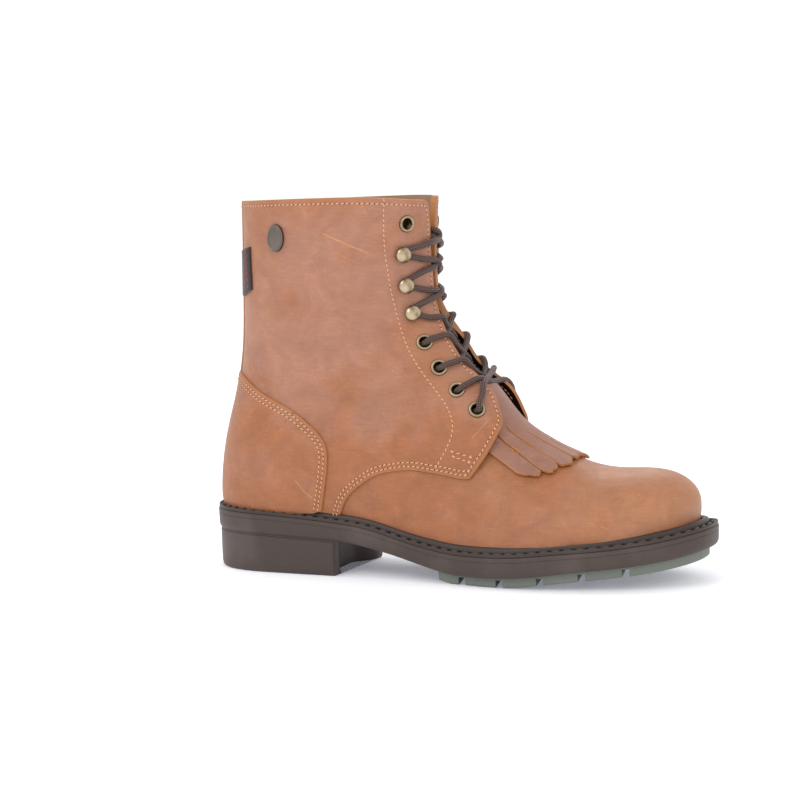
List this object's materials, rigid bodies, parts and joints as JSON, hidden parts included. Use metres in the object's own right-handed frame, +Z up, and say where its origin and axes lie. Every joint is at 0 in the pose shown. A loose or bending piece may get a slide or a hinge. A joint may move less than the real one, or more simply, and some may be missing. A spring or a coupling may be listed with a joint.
{
  "type": "riding ankle boot",
  "caption": "Lace-up riding ankle boot for the right foot: hollow tan leather upper with fringed kiltie, heel counter, storm welt and brown rubber sole with stacked heel.",
  "frame": {"origin": "centre of the bounding box at floor level", "axes": "+X from heel to toe, +Y to the inner (medial) side, +Z up"},
  "size_m": [0.298, 0.1014, 0.2142],
  "materials": {
    "oiled_tan_leather": "oiled pull-up leather, soft sheen",
    "brown_rubber": "moulded, matt",
    "grey_green_rubber": "moulded, matt",
    "dark_welt": "moulded welt, matt",
    "insole_board": "undyed leather board",
    "antique_brass": "aged, half gloss",
    "waxed_cotton_lace": "round braid, waxed",
    "pewter": "dark cast metal",
    "woven_tab": "woven tape"
  },
  "bodies": {
    "root": {"outsole": "brown_rubber", "heel": "brown_rubber", "tread": "grey_green_rubber", "welt": "dark_welt", "insole": "insole_board", "upper": "oiled_tan_leather", "heel_counter": "oiled_tan_leather", "back_strip": "oiled_tan_leather", "tongue": "oiled_tan_leather", "kiltie": "oiled_tan_leather", "side_badge": "pewter", "back_tab": "woven_tab", "eyelet_lateral_1": "antique_brass", "eyelet_lateral_2": "antique_brass", "eyelet_lateral_3": "antique_brass", "eyelet_lateral_4": "antique_brass", "eyelet_lateral_5": "antique_brass", "hook_lateral_1": "antique_brass", "hook_lateral_2": "antique_brass", "hook_lateral_3": "antique_brass", "eyelet_medial_1": "antique_brass", "eyelet_medial_2": "antique_brass", "eyelet_medial_3": "antique_brass", "eyelet_medial_4": "antique_brass", "eyelet_medial_5": "antique_brass", "hook_medial_1": "antique_brass", "hook_medial_2": "antique_brass", "hook_medial_3": "antique_brass", "lace_cross_1": "waxed_cotton_lace", "lace_cross_2": "waxed_cotton_lace", "lace_cross_3": "waxed_cotton_lace", "lace_cross_4": "waxed_cotton_lace", "lace_cross_5": "waxed_cotton_lace", "lace_cross_6": "waxed_cotton_lace", "lace_cross_7": "waxed_cotton_lace"}
  },
  "joints": []
}
